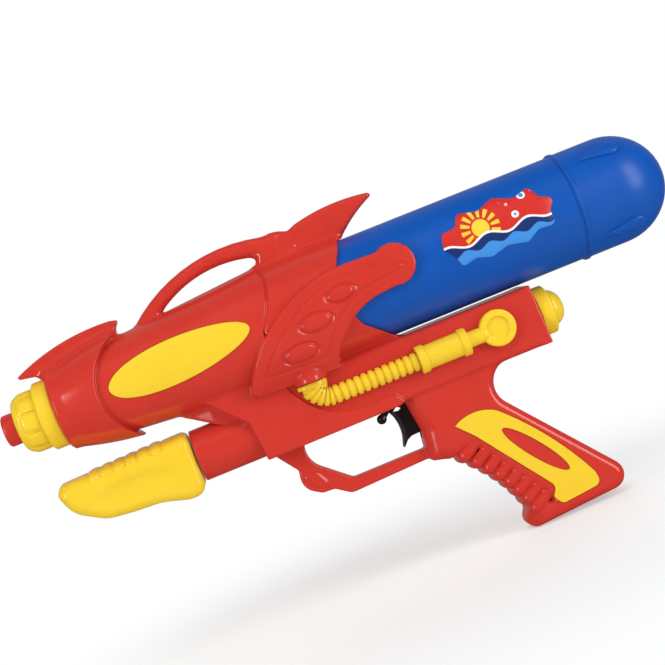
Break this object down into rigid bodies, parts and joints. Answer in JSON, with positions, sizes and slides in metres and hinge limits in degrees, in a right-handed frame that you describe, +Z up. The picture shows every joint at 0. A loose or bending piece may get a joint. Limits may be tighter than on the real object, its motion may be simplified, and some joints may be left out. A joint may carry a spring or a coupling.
{
  "type": "toy water squirter",
  "caption": "Toy water squirter with a round screw-on tank behind a tapered barrel, a forward hand pump, a carrying handle, a trigger and a raked hand grip.",
  "frame": {"origin": "centre of the nozzle outlet, on the front face of the nozzle tip", "axes": "+X from the muzzle to the rear along the barrel and tank, +Z up with the hand grip below, -Y the side in the picture"},
  "size_m": [0.4215, 0.0772, 0.2248],
  "materials": {
    "red_plastic": "glossy moulded polystyrene",
    "yellow_plastic": "glossy moulded polystyrene",
    "blue_plastic": "satin blow-moulded polyethylene",
    "black_plastic": "moulded, satin",
    "white_plastic": "moulded polyethylene",
    "soft_tube": "milky soft PVC",
    "rubber_seal": "moulded",
    "label_film": "printed film",
    "zinc_steel": "zinc plated"
  },
  "bodies": {
    "case": {"left_shell": "red_plastic", "right_shell": "red_plastic", "barrel_insert_left": "yellow_plastic", "barrel_insert_right": "yellow_plastic", "grip_insert_left": "yellow_plastic", "grip_insert_right": "yellow_plastic", "hose_left": "yellow_plastic", "hose_right": "yellow_plastic", "hose_coupling_left": "yellow_plastic", "hose_coupling_right": "yellow_plastic", "rear_plug": "yellow_plastic", "nozzle_spigot": "white_plastic", "water_line": "soft_tube", "valve_body": "white_plastic", "valve_spring": "zinc_steel", "feed_line": "soft_tube", "tank_socket": "white_plastic", "pickup_tube": "soft_tube", "pump_cylinder": "red_plastic", "pump_bush": "white_plastic", "pump_head": "white_plastic", "check_valve": "rubber_seal", "air_line": "soft_tube", "trigger_pin": "zinc_steel", "case_screws": "zinc_steel"},
    "pump": {"pump_rod": "white_plastic", "piston": "white_plastic", "piston_ring": "rubber_seal", "pump_grip_left": "yellow_plastic", "pump_grip_right": "yellow_plastic", "pump_grip_screws": "zinc_steel"},
    "trigger": {"trigger": "black_plastic"},
    "valve": {"valve_stem": "white_plastic", "valve_seal": "rubber_seal"},
    "tank_seat": {"tank_gasket": "rubber_seal"},
    "tank": {"tank": "blue_plastic", "tank_label": "label_film"},
    "nozzle_seat": {"nozzle_tip": "red_plastic", "nozzle_washer": "rubber_seal"},
    "nozzle_nut": {"nozzle_nut": "yellow_plastic"}
  },
  "joints": [
    {"name": "pump_slide", "type": "slide", "parent": "case", "child": "pump", "axis": [-1, 0, 0], "range_m": [0, 0.047]},
    {"name": "trigger_pull", "type": "hinge", "parent": "case", "child": "trigger", "pos_m": [0.2255, 0, -0.064], "axis": [0, -1, 0], "range_deg": [0, 14], "stiffness_Nm_per_rad": 0.3, "springref_deg": -11.46},
    {"name": "valve_push", "type": "slide", "parent": "case", "child": "valve", "axis": [-1, 0, 0], "range_m": [0, 0.003], "deforming": ["valve_spring"]},
    {"name": "tank_draw", "type": "slide", "parent": "case", "child": "tank_seat", "axis": [1, 0, 0], "range_m": [0, 0.0081]},
    {"name": "tank_turn", "type": "hinge", "parent": "tank_seat", "child": "tank", "pos_m": [0.1995, 0, 0], "axis": [1, 0, 0], "range_deg": [0, 720]},
    {"name": "nozzle_draw", "type": "slide", "parent": "case", "child": "nozzle_seat", "axis": [-1, 0, 0], "range_m": [0, 0.0081]},
    {"name": "nozzle_turn", "type": "hinge", "parent": "nozzle_seat", "child": "nozzle_nut", "pos_m": [0.02, 0, 0], "axis": [-1, 0, 0], "range_deg": [0, 720]}
  ],
  "couplings": [
    {"joint": "valve_push", "follows": "trigger_pull", "m_per_rad": 0.012},
    {"joint": "tank_draw", "follows": "tank_turn", "m_per_rad": 0.00063662},
    {"joint": "nozzle_draw", "follows": "nozzle_turn", "m_per_rad": 0.00063662}
  ]
}
